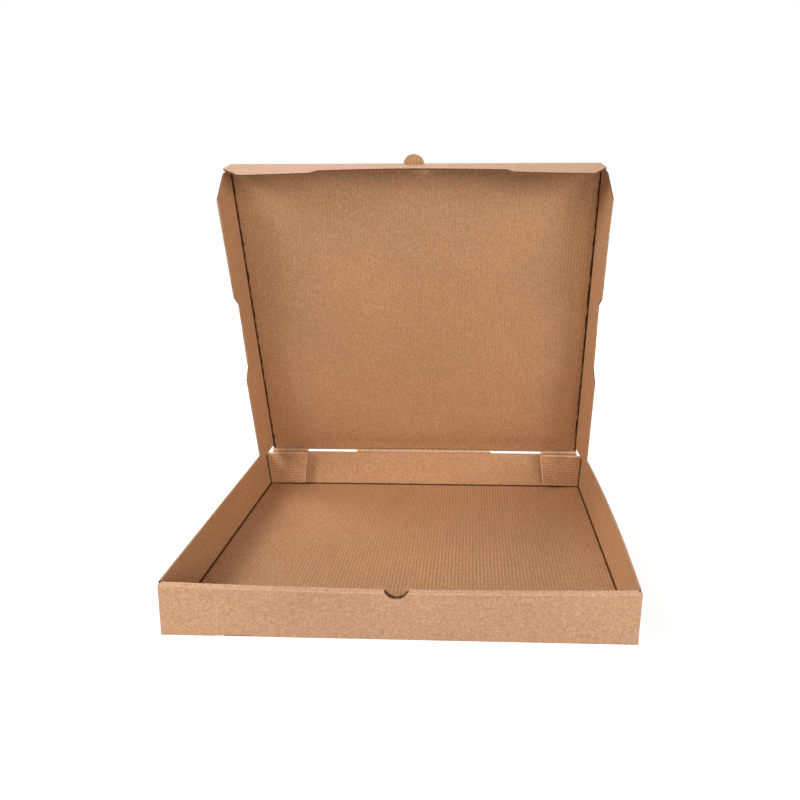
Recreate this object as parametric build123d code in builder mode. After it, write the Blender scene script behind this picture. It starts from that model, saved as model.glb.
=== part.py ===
from build123d import *
import math
import os

os.makedirs("parts", exist_ok=True)

# Board and tray, in millimetres. X runs left to right, the front of the box is at -Y, up is +Z.
board = 1.6
tray_width = 360.0
tray_depth = 360.0
side_height = 42.0
front_height = 41.0
rear_rise = 41.6
rear_lean = 3.0
fold_bevel = 0.8
crease_width = 1.0
crease_depth = 0.5

# How far the top of each side wall stands out at the front and at the rear, and the bow of the right one
left_splay_front = 1.5
left_splay_rear = 5.7
right_splay_front = 0.9
right_splay_rear = 3.2
right_bow = 3.5

# Rolled front wall: the band along its top, its outward bulge at mid length, and its round thumb hole
band_width = 7.2
front_lean = 1.3
front_bulge = 5.7
front_cavity = 2.2
thumb_radius = 9.2
front_tab_length = 42.6
front_tab_drop = 3.0
lock_tab_length = 46.0
lock_tab_place = 95.0
lock_play = 0.2

# Rear corner flaps, folded in from the side walls. Their free ends stand off the rear wall and a little higher.
corner_flap_reach_top = 132.6
corner_flap_reach_foot = 135.8
corner_flap_fold_foot = 2.6
corner_flap_fold_top = 38.6
corner_flap_free_foot = 6.0
corner_flap_free_top = 41.9
corner_flap_turn = 9.0
corner_flap_gap = 0.2
corner_flap_round = 3.0

# Openings along the rear hinge: two slots, and a cut at each end of the rear wall
slot_inner_end = 76.5
slot_outer_end = 134.4
slot_floor = 39.7
slot_point = 1.8
rear_end_cut = 4.4
rear_end_gap = 0.5

# Lid: axis to axis sizes, the angle it stands at above the floor, and the turn of its flaps
lid_length = tray_depth - 12.6
lid_width = tray_width - 11.4
lid_angle = 65.7
flap_depth = 38.3
left_turn = 9.5
right_turn = 11.0
front_turn = 8.5
hinge_gap = 0.1
hinge_bevel = 1.0
pull_tab_radius = 9.6
pull_tab_play = 0.3
far_end_gap = 2.0
near_end_gap = 3.0

# Flutes of the board, open where a flap is cut across them
flute_pitch = 3.18
flute_liner = 0.22
flute_half_width = 1.3
flute_apex = 0.4
flute_run = 3.0

# Shapes of the free edges of the lid's flaps
side_near_notch = (3.6, 1.5)
side_near_upper = (5.6, 14.1)
side_near_lower = (6.1, 23.1)
side_near_corner = 12.5
recess_depth = 8.0
recess_near = 124.0
recess_far = 225.0
recess_slope = 12.0
side_far_shoulder = 17.0
side_far_taper = 18.5
side_near_flutes = 19.5
front_end_gap = 1.5
front_ear_spread = 1.5
front_ear_drop = 16.0
front_free_inset = 15.5
front_recess_half = 92.0
front_recess_slope = 6.5
front_recess_depth = 9.0

# Values that follow from the ones above
half = board / 2
wall_x = tray_width / 2 - board
wall_y = tray_depth / 2 - board
lean = math.radians(rear_lean)
wall_up = Vector(0, math.sin(lean), math.cos(lean))
wall_out = Vector(0, math.cos(lean), -math.sin(lean))
hinge = Vector(0, wall_y, board) + wall_up * rear_rise + wall_out * half
rise = math.radians(lid_angle)
along = Vector(0, -math.cos(rise), math.sin(rise))
inward = Vector(0, -math.sin(rise), -math.cos(rise))
right = Vector(1, 0, 0)
far_edge = hinge + along * lid_length
start = half + hinge_gap
fold_x = lid_width / 2
front_crease_half = fold_x - front_end_gap
front_ear_half = fold_x + front_ear_spread
front_free_half = fold_x - front_free_inset


def splay(side, y):
    """How far the top of a side wall stands out at the depth y."""
    share = (y + tray_depth / 2) / tray_depth
    if side < 0:
        return left_splay_front + (left_splay_rear - left_splay_front) * share
    bow = 4 * right_bow * share * (1 - share)
    return right_splay_front + (right_splay_rear - right_splay_front) * share + bow


def bulge(x):
    """How far the top of the front wall bulges out at the place x."""
    return front_bulge * (1 - (2 * x / tray_width) ** 2)


def on_corner_flap(tilt, turn, x, z):
    """The place in a corner flap's plane that is x to the side of the middle and z above the base."""
    spread, height = math.sin(tilt), math.cos(tilt)
    across, climb = height * math.cos(turn), spread * math.cos(turn)
    ahead = wall_x + corner_flap_gap - x
    run = (ahead * height + (z - board) * spread) / (across * height + climb * spread)
    return run, (z - board - run * climb) / height


def open_flutes(first, last):
    """Cells of the flutes from first to last along X, for the open sketch across the board."""
    for step in range(math.ceil(first / flute_pitch), math.floor(last / flute_pitch) + 1):
        for flip in (-1, 1):
            centre = (step + flip / 4) * flute_pitch
            if first + flute_half_width <= centre <= last - flute_half_width:
                with BuildLine() as cell:
                    Polyline(
                        (centre - flute_half_width, flip * (half - flute_liner)),
                        (centre + flute_half_width, flip * (half - flute_liner)),
                        (centre, -flip * flute_apex),
                        close=True,
                    )
                make_face(cell.edges())


with BuildPart() as tray:
    # Floor
    with BuildSketch(Plane.XY):
        Rectangle(2 * wall_x + board / 2, 2 * wall_y + board / 2)
    extrude(amount=board)
    # Pressed lines along the folds of the floor
    with BuildSketch(Plane.XY.offset(board - crease_depth)):
        with Locations((-wall_x + crease_width / 2, 0), (wall_x - crease_width / 2, 0)):
            Rectangle(crease_width, 2 * wall_y - board)
        with Locations((0, wall_y - crease_width / 2)):
            Rectangle(2 * wall_x, crease_width)
    extrude(amount=crease_depth, mode=Mode.SUBTRACT)
    # Slots in the floor for the locking tabs of the rolled front wall
    lock_y = -wall_y + front_cavity + half
    with BuildSketch(Plane.XY):
        with Locations((-lock_tab_place, lock_y), (lock_tab_place, lock_y)):
            Rectangle(lock_tab_length + 2 * lock_play, board + 2 * lock_play)
    extrude(amount=board, mode=Mode.SUBTRACT)

    # Side walls, which lean out towards the rear
    for side in (-1, 1):
        for y in (-wall_y, -wall_y / 2, 0, wall_y / 2, wall_y):
            out = splay(side, y)
            outer = tray_width / 2
            with BuildSketch(Plane(origin=(0, y, 0), x_dir=(1, 0, 0), z_dir=(0, -1, 0))):
                with BuildLine():
                    Polyline(
                        (side * wall_x, 0),
                        (side * (outer - fold_bevel), 0),
                        (side * outer, fold_bevel),
                        (side * (outer + out), side_height),
                        (side * (wall_x + out), side_height),
                        (side * wall_x, board),
                        close=True,
                    )
                make_face()
        loft()
    # The side walls are lower under the band of the front wall
    with BuildSketch(Plane.XY.offset(front_height - board)):
        with Locations((0, -wall_y)):
            Rectangle(tray_width + 2 * board + front_bulge, 2 * (band_width - board))
    extrude(amount=2 * board + fold_bevel, mode=Mode.SUBTRACT)

    # Rear wall, leaning back a little, with the round bead that the lid turns on
    base = Vector(0, wall_y, board)
    outer_top = hinge + wall_out * half
    inner_top = hinge - wall_out * half
    outer_base = base + wall_out * board
    with BuildSketch(Plane.YZ):
        with BuildLine():
            Polyline(
                (wall_y - fold_bevel / 2, 0),
                (tray_depth / 2 - fold_bevel, 0),
                (tray_depth / 2, fold_bevel),
                (outer_base.Y, outer_base.Z),
                (outer_top.Y, outer_top.Z),
                (hinge.Y, hinge.Z),
                (inner_top.Y, inner_top.Z),
                (wall_y, board),
                (wall_y - fold_bevel / 2, board),
                close=True,
            )
        make_face()
        with Locations((hinge.Y, hinge.Z)):
            Circle(half)
    extrude(amount=wall_x - rear_end_gap, both=True)
    # Cut at each end of the rear wall, and the slots along the hinge
    with BuildSketch(Plane(origin=(0, wall_y - board, 0), x_dir=(1, 0, 0), z_dir=(0, -1, 0))):
        for side in (-1, 1):
            with BuildLine():
                Polyline(
                    (side * (wall_x + board), slot_floor - rear_end_cut),
                    (side * (fold_x - rear_end_gap), slot_floor),
                    (side * (fold_x - rear_end_gap), hinge.Z + board),
                    (side * (wall_x + board), hinge.Z + board),
                    close=True,
                )
            make_face()
            with BuildLine():
                Polyline(
                    (side * slot_outer_end, slot_floor),
                    (side * slot_outer_end, hinge.Z + board),
                    (side * slot_inner_end, hinge.Z + board),
                    (side * slot_inner_end, slot_floor + slot_point),
                    (side * (slot_inner_end + slot_point), slot_floor),
                    close=True,
                )
            make_face()
    extrude(amount=-4 * board, mode=Mode.SUBTRACT)

    # Rear corner flaps, with their flutes open at the free end
    turn = math.radians(corner_flap_turn)
    for side in (-1, 1):
        tilt = math.atan(splay(side, wall_y) / side_height)
        fold = Vector(side * (wall_x + corner_flap_gap), wall_y - corner_flap_gap, board)
        fold_axis = Vector(side * math.sin(tilt), 0, math.cos(tilt))
        level = Vector(-side * math.cos(tilt), 0, math.sin(tilt))
        flap_dir = level * math.cos(turn) - Vector(0, math.sin(turn), 0)
        flap_plane = Plane(origin=fold, x_dir=flap_dir, z_dir=flap_dir.cross(fold_axis))
        corners = [
            (0, corner_flap_fold_foot - board),
            on_corner_flap(tilt, turn, corner_flap_reach_foot, corner_flap_free_foot),
            on_corner_flap(tilt, turn, corner_flap_reach_top, corner_flap_free_top),
            (0, (corner_flap_fold_top - board) / math.cos(tilt)),
        ]
        with BuildSketch(flap_plane) as flap:
            with BuildLine():
                Polyline(*corners, close=True)
            make_face()
            free_foot = flap_plane.from_local_coords(Vector(*corners[1]))
            fillet(flap.vertices().sort_by_distance(free_foot)[0], corner_flap_round)
        extrude(amount=-side * board)
        middle = flap_plane.origin - flap_plane.z_dir * side * half + flap_dir * (corners[2][0] + flute_run)
        with BuildSketch(Plane(origin=middle, x_dir=fold_axis, z_dir=-flap_dir)):
            open_flutes(corner_flap_round / 2, corners[2][1] - board)
        extrude(amount=corners[2][0] - corners[1][0] + 2 * flute_run, mode=Mode.SUBTRACT)

    # Rolled front wall: outer layer, band and inner layer in one section
    reach = tray_width / 2 + left_splay_front + right_splay_front
    for x in (-reach, -reach / 2, 0, reach / 2, reach):
        top = -tray_depth / 2 - front_lean - bulge(x)
        back = top + band_width
        foot = -wall_y + front_cavity
        with BuildSketch(Plane(origin=(x, 0, 0), x_dir=(0, 1, 0), z_dir=(1, 0, 0))):
            with BuildLine():
                Polyline(
                    (-tray_depth / 2 + fold_bevel, 0),
                    (-tray_depth / 2, fold_bevel),
                    (top, front_height - fold_bevel),
                    (top + fold_bevel, front_height),
                    (back - fold_bevel, front_height),
                    (back, front_height - fold_bevel),
                    (foot + board, board),
                    (foot, board),
                    (back - board, front_height - board),
                    (top + board, front_height - board),
                    (-wall_y, board),
                    (-wall_y, 0),
                    close=True,
                )
            make_face()
    loft()
    # Its ends are flush with the side walls
    with BuildSketch(Plane(origin=(0, -wall_y + band_width, 0), x_dir=(1, 0, 0), z_dir=(0, -1, 0))):
        for side in (-1, 1):
            out = splay(side, -wall_y)
            with BuildLine():
                Polyline(
                    (side * tray_width / 2, -board),
                    (side * tray_width / 2, 0),
                    (side * (tray_width / 2 + out), side_height),
                    (side * (reach + board), side_height),
                    (side * (reach + board), -board),
                    close=True,
                )
            make_face()
    extrude(amount=2 * band_width + front_bulge, mode=Mode.SUBTRACT)
    # Folds of the side walls into the front corners
    for side in (-1, 1):
        out = splay(side, -wall_y)
        for z in (0, front_height - board):
            edge = side * (tray_width / 2 + out * z / side_height)
            with BuildSketch(Plane.XY.offset(z)):
                with BuildLine():
                    Polyline(
                        (edge + side * hinge_gap, -wall_y - hinge_gap),
                        (edge - side * fold_bevel, -wall_y),
                        (edge + side * hinge_gap, -wall_y + fold_bevel),
                        close=True,
                    )
                make_face()
        loft(mode=Mode.SUBTRACT)
    # Tabs of the side walls, folded in between the two layers
    for side in (-1, 1):
        for step in (0, 0.5, 1):
            x = wall_x + half / 2 - front_tab_length * step
            middle_top = -tray_depth / 2 - front_lean - bulge(x) + band_width / 2
            middle_foot = -wall_y + front_cavity / 2
            with BuildSketch(Plane(origin=(side * x, 0, 0), x_dir=(0, 1, 0), z_dir=(1, 0, 0))):
                with BuildLine():
                    Polyline(
                        (middle_foot - half, board + fold_bevel),
                        (middle_foot + half, board + fold_bevel),
                        (middle_top + half, front_height - front_tab_drop),
                        (middle_top - half, front_height - front_tab_drop),
                        close=True,
                    )
                make_face()
        loft()
    # Locking tabs of the inner layer, down in the slots of the floor
    with BuildSketch(Plane.XY.offset(lock_play)):
        with Locations((-lock_tab_place, lock_y), (lock_tab_place, lock_y)):
            Rectangle(lock_tab_length, board)
    extrude(amount=board)
    # Round thumb hole through the band and both layers
    band_middle = -tray_depth / 2 - front_lean - front_bulge + band_width / 2
    with BuildSketch(Plane(origin=(0, -wall_y + band_width, 0), x_dir=(1, 0, 0), z_dir=(0, -1, 0))):
        with Locations((0, front_height + band_width / 2)):
            Circle(thumb_radius)
    extrude(amount=3 * band_width, mode=Mode.SUBTRACT)
    with BuildSketch(Plane.XY.offset(front_height - board)):
        with Locations((0, band_middle)):
            Circle(thumb_radius)
    extrude(amount=2 * board, mode=Mode.SUBTRACT)
    # Flutes open round the thumb hole, in both layers
    outer_foot = Vector(0, -tray_depth / 2 + half, fold_bevel)
    outer_head = Vector(0, -tray_depth / 2 - front_lean - front_bulge + half, front_height)
    inner_foot = Vector(0, -wall_y + front_cavity + half, board)
    inner_head = Vector(0, -tray_depth / 2 - front_lean - front_bulge + band_width - half, front_height)
    for foot, head in ((outer_foot, outer_head), (inner_foot, inner_head)):
        climb = (head - foot).normalized()
        with BuildSketch(Plane(origin=head + climb * flute_run, x_dir=right, z_dir=-climb)):
            open_flutes(-thumb_radius, thumb_radius)
        extrude(amount=thumb_radius - band_width / 2 + 2 * flute_run, mode=Mode.SUBTRACT)
    # Flutes open along the lower edge of each slot
    with BuildSketch(Plane(origin=hinge + wall_up * board, x_dir=right, z_dir=-wall_up)):
        open_flutes(-slot_outer_end, -slot_inner_end - slot_point)
        open_flutes(slot_inner_end + slot_point, slot_outer_end)
    extrude(amount=hinge.Z + board - slot_floor + flute_run, mode=Mode.SUBTRACT)
tray.part.label = "tray"
export_step(tray.part, "parts/tray.step")


# The lid's panel: X across, Y away from the rear hinge, Z towards the inside of the box
panel_plane = Plane(origin=hinge, x_dir=right, z_dir=inward)
with BuildPart() as panel:
    with BuildSketch(panel_plane):
        with BuildLine():
            Polyline(
                (-fold_x + half, start),
                (fold_x - half, start),
                (fold_x, near_end_gap),
                (fold_x, lid_length - far_end_gap),
                (front_crease_half, lid_length),
                (-front_crease_half, lid_length),
                (-fold_x, lid_length - far_end_gap),
                (-fold_x, near_end_gap),
                close=True,
            )
        make_face()
    extrude(amount=half, both=True)
    rear_inner = hinge + along * start + inward * half
    chamfer(panel.edges().sort_by_distance(rear_inner)[0], hinge_bevel)
    # Closed edges of the panel along the two slots
    for side in (-1, 1):
        slot_start = hinge + right * side * (slot_inner_end + hinge_gap)
        with BuildSketch(Plane(origin=slot_start, x_dir=along, z_dir=right * side)):
            Circle(half)
            with Locations((half, 0)):
                Rectangle(board, board - 2 * hinge_gap)
        extrude(amount=slot_outer_end - slot_inner_end - 2 * hinge_gap)
    # Pull tab, which stays in the plane of the panel
    with BuildSketch(panel_plane):
        with Locations((0, lid_length)):
            Circle(pull_tab_radius)
    extrude(amount=half, both=True)
    with BuildSketch(Plane(origin=far_edge + along * (pull_tab_radius + flute_run), x_dir=right, z_dir=-along)):
        open_flutes(-pull_tab_radius, pull_tab_radius)
    extrude(amount=pull_tab_radius, mode=Mode.SUBTRACT)
    # Round beads along the folds of the three flaps
    with BuildSketch(Plane(origin=hinge + along * near_end_gap, x_dir=right, z_dir=along)):
        with Locations((-fold_x, 0), (fold_x, 0)):
            Circle(half)
    extrude(amount=lid_length - far_end_gap - near_end_gap)
    with BuildSketch(Plane(origin=far_edge - right * front_crease_half, x_dir=along, z_dir=right)):
        Circle(half)
    extrude(amount=2 * front_crease_half)
panel.part.label = "lid_panel"
export_step(panel.part, "parts/lid_panel.step")


# The lid's side flaps: X away from the rear hinge, Y away from the panel
side_shape = [
    (near_end_gap, start),
    (near_end_gap + side_near_notch[0], start + side_near_notch[1]),
    (near_end_gap + side_near_upper[0], start + side_near_upper[1]),
    (near_end_gap + side_near_lower[0], start + side_near_lower[1]),
    (near_end_gap + side_near_corner, flap_depth),
    (recess_near, flap_depth),
    (recess_near + recess_slope, flap_depth - recess_depth),
    (recess_far - recess_slope, flap_depth - recess_depth),
    (recess_far, flap_depth),
    (lid_length - side_far_taper, flap_depth),
    (lid_length - far_end_gap - half, side_far_shoulder),
    (lid_length - far_end_gap, start),
]
flap_names = {-1: "lid_left_flap", 1: "lid_right_flap"}
flap_turns = {-1: left_turn, 1: right_turn}
for side in (-1, 1):
    turn = math.radians(flap_turns[side])
    down = inward * math.cos(turn) + right * side * math.sin(turn)
    flap_plane = Plane(origin=hinge + right * side * fold_x, x_dir=along, z_dir=along.cross(down))
    with BuildPart() as side_flap:
        with BuildSketch(flap_plane):
            with BuildLine():
                Polyline(*side_shape, close=True)
            make_face()
        extrude(amount=half, both=True)
        facing = inward * math.sin(turn) - right * side * math.cos(turn)
        crease_inner = flap_plane.origin + along * lid_length / 2 + down * start + facing * half
        chamfer(side_flap.edges().sort_by_distance(crease_inner)[0], hinge_bevel)
        # Flutes open at both ends of the flap
        for place, direction in ((-flute_run, 1), (lid_length + flute_run, -1)):
            depth = side_near_flutes if direction > 0 else side_far_taper + 2 * flute_run
            with BuildSketch(Plane(origin=flap_plane.origin + along * place, x_dir=down, z_dir=along * direction)):
                open_flutes(start + hinge_bevel, flap_depth)
            extrude(amount=depth, mode=Mode.SUBTRACT)
    side_flap.part.label = flap_names[side]
    export_step(side_flap.part, "parts/" + flap_names[side] + ".step")


# The lid's front flap: X across, Y away from the panel
turn = math.radians(front_turn)
down = inward * math.cos(turn) + along * math.sin(turn)
front_shape = [
    (-front_crease_half, start),
    (-front_ear_half, front_ear_drop),
    (-front_free_half, flap_depth),
    (-front_recess_half, flap_depth),
    (-front_recess_half + front_recess_slope, flap_depth - front_recess_depth),
    (front_recess_half - front_recess_slope, flap_depth - front_recess_depth),
    (front_recess_half, flap_depth),
    (front_free_half, flap_depth),
    (front_ear_half, front_ear_drop),
    (front_crease_half, start),
]
front_plane = Plane(origin=far_edge, x_dir=right, z_dir=right.cross(down))
with BuildPart() as front_flap:
    with BuildSketch(front_plane):
        with BuildLine():
            Polyline(*front_shape, close=True)
        make_face()
        Circle(pull_tab_radius + pull_tab_play, mode=Mode.SUBTRACT)
    extrude(amount=half, both=True)
    facing = inward * math.sin(turn) - along * math.cos(turn)
    for place in (-front_crease_half / 2, front_crease_half / 2):
        crease_inner = far_edge + right * place + down * start + facing * half
        chamfer(front_flap.edges().sort_by_distance(crease_inner)[0], hinge_bevel)
    # Flutes open along the free edge
    with BuildSketch(Plane(origin=far_edge + down * (flap_depth + flute_run), x_dir=right, z_dir=-down)):
        open_flutes(-front_ear_half, front_ear_half)
    extrude(amount=flap_depth - front_ear_drop + 2 * flute_run, mode=Mode.SUBTRACT)
front_flap.part.label = "lid_front_flap"
export_step(front_flap.part, "parts/lid_front_flap.step")
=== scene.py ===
import math
import bmesh
import bpy
from mathutils import Matrix, Vector
from mathutils import noise as mnoise


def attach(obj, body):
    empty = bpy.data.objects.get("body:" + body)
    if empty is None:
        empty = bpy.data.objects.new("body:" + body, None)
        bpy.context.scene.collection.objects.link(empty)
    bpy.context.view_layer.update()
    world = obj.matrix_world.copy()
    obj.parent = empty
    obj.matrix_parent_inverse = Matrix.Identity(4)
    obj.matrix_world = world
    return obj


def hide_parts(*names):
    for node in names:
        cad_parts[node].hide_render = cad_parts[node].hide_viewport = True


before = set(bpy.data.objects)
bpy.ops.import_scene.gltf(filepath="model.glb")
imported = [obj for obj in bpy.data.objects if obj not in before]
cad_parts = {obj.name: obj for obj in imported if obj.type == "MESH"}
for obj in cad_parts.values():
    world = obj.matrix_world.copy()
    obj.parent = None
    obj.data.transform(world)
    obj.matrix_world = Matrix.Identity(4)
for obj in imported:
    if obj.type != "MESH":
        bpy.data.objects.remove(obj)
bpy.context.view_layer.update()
scene = bpy.context.scene
scene.view_settings.view_transform = "Standard"

X, Y, Z = Vector((1, 0, 0)), Vector((0, 1, 0)), Vector((0, 0, 1))

# Board, in millimetres: its thickness T, half of it, and its liners and flutes
T = 1.6
H = T / 2
LINER = 0.24
MEDIUM_HALF = 0.12
PITCH = 3.18
PER_FLUTE = 8
FLUTE_DEPTH = 9.0

# Tray. X runs left to right, the front is at -Y, up is +Z.
SIZE = 180.0
WALL = SIZE - T
SIDE_TOP = 42.0
FRONT_TOP = 41.0
GROOVE = 1.15
PRESSED = 0.5
EDGE = WALL - GROOVE
LEFT_SPLAY = (1.5, 5.7)
RIGHT_SPLAY = (0.9, 3.2)
RIGHT_BOW = 3.5
PLUG_TOP = 2.6

# Rolled front wall, its half widths at foot and top on the left and on the right, and its thumb hole
BAND = 7.2
BAND_BACK = 176.4
FRONT_LEAN = 1.3
BULGE = 5.7
CAVITY = 2.2
THUMB = 9.2
FRONT_ROLL, BACK_ROLL = 1.2, 0.8
FRONT_ENDS = {-1: (180.4, 180.7), 1: (179.5, 181.3)}
INNER_END = WALL - 0.5
BAND_TRIM = 179.4
BAND_CORNER = 4.2
LOCK_X, LOCK_HALF, LOCK_PLAY = 95.0, 23.0, 0.2
LOCK_Y = -WALL + CAVITY + H
TAB_LENGTH = 42.6
TAB_MARK = -136.2
MARK_RIDGE, MARK_WIDTH = 0.3, 1.1
# A stretch of its bottom fold has lifted off the ground; a dark sheet under it is painted shade
LIFT, LIFT_X, LIFT_HALF = 0.75, -122.0, 15.0
LIFT_SHADE = (-135.0, -99.0)

# Rear corner flaps: the heights of their folds, and the reach and height of their free ends at foot and head
CORNER_LOW, CORNER_HIGH = 2.6, 38.6
CORNER_TURN = 9.0
CORNER_GAP = 0.2
CORNER_FOLD = 1.6
CORNER_FOOT = (135.8, 6.0)
CORNER_HEAD = (132.6, 41.9)
CORNER_SAG, CORNER_REACH = 0.45, 46.0

# Rear wall, its hinge line, and the two slots along it
LEAN = math.radians(3.0)
UP = Vector((0, math.sin(LEAN), math.cos(LEAN)))
OUT = Vector((0, math.cos(LEAN), -math.sin(LEAN)))
REAR_RISE = 41.6
REAR_END = WALL - 0.6
HINGE = Vector((0, WALL, T)) + UP * REAR_RISE + OUT * H
BEAD, BEAD_IN, BEAD_DROP = 1.25, 0.55, 1.9
SLOT_IN, SLOT_OUT = 76.5, 134.4
SLOT_FLOOR, END_FLOOR = 39.7, 35.6
SLOT_POINT = 1.8

# Lid: its panel stands at RISE above the floor, and its flaps turn on FOLD_X and FAR
RISE = math.radians(65.7)
ALONG = Vector((0, -math.cos(RISE), math.sin(RISE)))
INWARD = Vector((0, -math.sin(RISE), -math.cos(RISE)))
LID_L = 347.4
FOLD_X = 174.3
FAR = HINGE + ALONG * LID_L
SLOT_SIDE = FOLD_X + 1.1
NEAR, BEVEL = 0.9, 1.0
SIDE_EDGE, FAR_EDGE = FOLD_X - GROOVE, LID_L - GROOVE
FAR_GAP = 2.0
SIDE_LOW = 1.2
CROWN = 3.0
CROWN_START = 11.0
FROM_FOLD = (2, 4, 7, 11, 16, 23, 32, 45, 65, 95, 130)
PULL_TAB = 9.6
TAB_CUTOUT = 9.9

# Flaps of the lid. The side flaps' turns are in degrees, near the hinge, at mid length and at the far end.
DEPTH = 38.3
SIDE_TURNS = {-1: (9.5, 7.0, 7.0), 1: (11.0, 8.5, 9.6)}
SIDE_RECESS = (124.0, 225.0)
SIDE_RECESS_DEEP, SIDE_RECESS_SLOPE = 8.0, 12.0
FRONT_TURN = 13.4
FRONT_BEND = {-1: 6.0, 1: 5.0}
CREASE_X = 172.8
EAR_X, EAR_DROP = 175.8, 16.0
FREE_X = {-1: 156.5, 1: 163.0}
RECESS_X, RECESS_SLOPE, RECESS_DEEP = 92.0, 6.5, 9.0


def splay(side, y):
    """How far the top of a side wall stands out at the depth y."""
    share = (y + SIZE) / (2 * SIZE)
    near, far = LEFT_SPLAY if side < 0 else RIGHT_SPLAY
    bow = 0.0 if side < 0 else 4 * RIGHT_BOW * share * (1 - share)
    return near + (far - near) * share + bow


def front_y(x):
    """The outer face of the front wall at its top, which bulges out at mid length."""
    return -SIZE - FRONT_LEAN - BULGE * (1 - (x / SIZE) ** 2)


def jitter(x, seed):
    """A smooth number from -1 to 1 that wanders every few millimetres."""
    return max(-1.0, min(1.0, 1.6 * mnoise.noise(Vector((x * 0.16, seed * 7.3, seed * 1.7)))))


def ease(share):
    """A smooth step from 0 to 1."""
    share = max(0.0, min(1.0, share))
    return share * share * (3 - 2 * share)


def rise_from(gap, reach):
    """From 0 at a fold to 1 far from it."""
    return 1 - math.exp(-max(0.0, gap) / reach)


def steps(low, high, gap):
    """Evenly spaced numbers from low to high, at most gap apart."""
    count = max(1, math.ceil((high - low) / gap))
    return [low + (high - low) * i / count for i in range(count + 1)]


class Shader:
    """Short ways to add the nodes of one material."""

    def __init__(self, name):
        self.mat = bpy.data.materials.new(name)
        self.mat.use_nodes = True
        self.tree = self.mat.node_tree
        self.bsdf = self.tree.nodes["Principled BSDF"]
        self.coord = self.tree.nodes.new("ShaderNodeTexCoord")

    def put(self, socket, value):
        if isinstance(value, bpy.types.NodeSocket):
            self.tree.links.new(value, socket)
        else:
            socket.default_value = value

    def node(self, kind, **inputs):
        made = self.tree.nodes.new(kind)
        for key, value in inputs.items():
            self.put(made.inputs[key], value)
        return made

    def math(self, op, *values):
        made = self.tree.nodes.new("ShaderNodeMath")
        made.operation = op
        for socket, value in zip(made.inputs, values):
            self.put(socket, value)
        return made.outputs[0]

    def noise(self, vector, scale, detail=3.0, rough=0.55, shift=0.0):
        mapping = self.node("ShaderNodeMapping", Vector=vector, Location=(shift, shift, shift))
        mapping.inputs["Scale"].default_value = scale if isinstance(scale, tuple) else (scale, scale, scale)
        return self.node("ShaderNodeTexNoise", Vector=mapping.outputs[0], Scale=1.0, Detail=detail,
                         Roughness=rough).outputs[0]

    def span(self, value, low, high, to_low, to_high, smooth=False):
        made = self.tree.nodes.new("ShaderNodeMapRange")
        if smooth:
            made.interpolation_type = "SMOOTHSTEP"
        for socket, number in zip(made.inputs, (value, low, high, to_low, to_high)):
            self.put(socket, number)
        return made.outputs[0]

    def mix(self, fac, a, b):
        made = self.tree.nodes.new("ShaderNodeMix")
        made.data_type = "RGBA"
        for index, value in ((0, fac), (6, a), (7, b)):
            self.put(made.inputs[index], (*value, 1.0) if isinstance(value, tuple) else value)
        return made.outputs[2]

    def spot(self, place, centre, size):
        """1 inside an ellipsoid round centre, given in millimetres, and 0 outside it."""
        mapping = self.node("ShaderNodeMapping", Vector=place)
        mapping.inputs["Scale"].default_value = tuple(1000 / c for c in size)
        mapping.inputs["Location"].default_value = tuple(-a / b for a, b in zip(centre, size))
        away = self.tree.nodes.new("ShaderNodeVectorMath")
        away.operation = "LENGTH"
        self.put(away.inputs[0], mapping.outputs[0])
        return self.span(away.outputs["Value"], 0.4, 1.0, 1.0, 0.0, smooth=True)

    def shade(self, colour, factor):
        made = self.tree.nodes.new("ShaderNodeVectorMath")
        made.operation = "SCALE"
        self.put(made.inputs[0], colour)
        self.put(made.inputs["Scale"], factor)
        return made.outputs[0]

    def vary(self, colour, noise, amount):
        """The colour made darker and lighter by amount where the noise is low and high."""
        return self.shade(colour, self.span(noise, 0.3, 0.7, 1 - amount, 1 + amount))


def scaled(colour, factor):
    return tuple(min(1.0, factor * c) for c in colour)


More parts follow.
